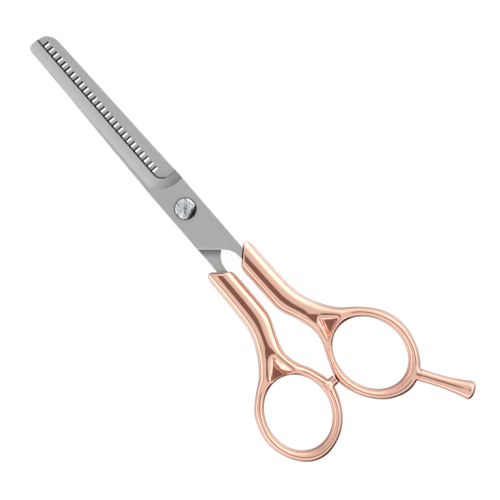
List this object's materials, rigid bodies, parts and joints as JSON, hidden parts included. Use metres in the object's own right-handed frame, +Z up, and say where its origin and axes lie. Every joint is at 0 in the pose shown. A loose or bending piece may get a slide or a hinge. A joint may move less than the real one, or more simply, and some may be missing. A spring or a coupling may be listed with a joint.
{
  "type": "hair cutting shears",
  "caption": "Thinning shears with a plain blade over a toothed comb blade, a slotted tension screw, cast finger bows and a removable finger rest.",
  "frame": {"origin": "on the pivot axis, in the plane of the underside that the shears lie on", "axes": "+Z up along the pivot axis to the screw head, +X to the blade tips, +Y to the thumb bow"},
  "size_m": [0.1537, 0.0545, 0.007],
  "materials": {
    "satin_steel": "fine satin, ground along the blade",
    "rose_gold": "polished rose-gold plating",
    "polished_steel": "polished",
    "nylon": "plain moulded nylon"
  },
  "bodies": {
    "finger_half": {"plain_blade": "satin_steel", "finger_bow": "rose_gold", "pivot_washer": "nylon"},
    "thumb_half": {"comb_blade": "satin_steel", "thumb_bow": "rose_gold"},
    "tension_screw": {"pivot_screw": "polished_steel"},
    "rest": {"finger_rest": "rose_gold"}
  },
  "joints": [
    {"name": "pivot", "type": "hinge", "parent": "finger_half", "child": "thumb_half", "pos_m": [0, 0, 0.0029], "axis": [0, 0, -1], "range_deg": [0, 140]},
    {"name": "screw_turn", "type": "hinge", "parent": "thumb_half", "child": "tension_screw", "pos_m": [0, 0, 0.0029], "axis": [0, 0, 1], "range_deg": [-90, 90]},
    {"name": "rest_unscrew", "type": "slide", "parent": "finger_half", "child": "rest", "axis": [-0.8471, -0.5314, 0], "range_m": [0, 0.003]}
  ]
}
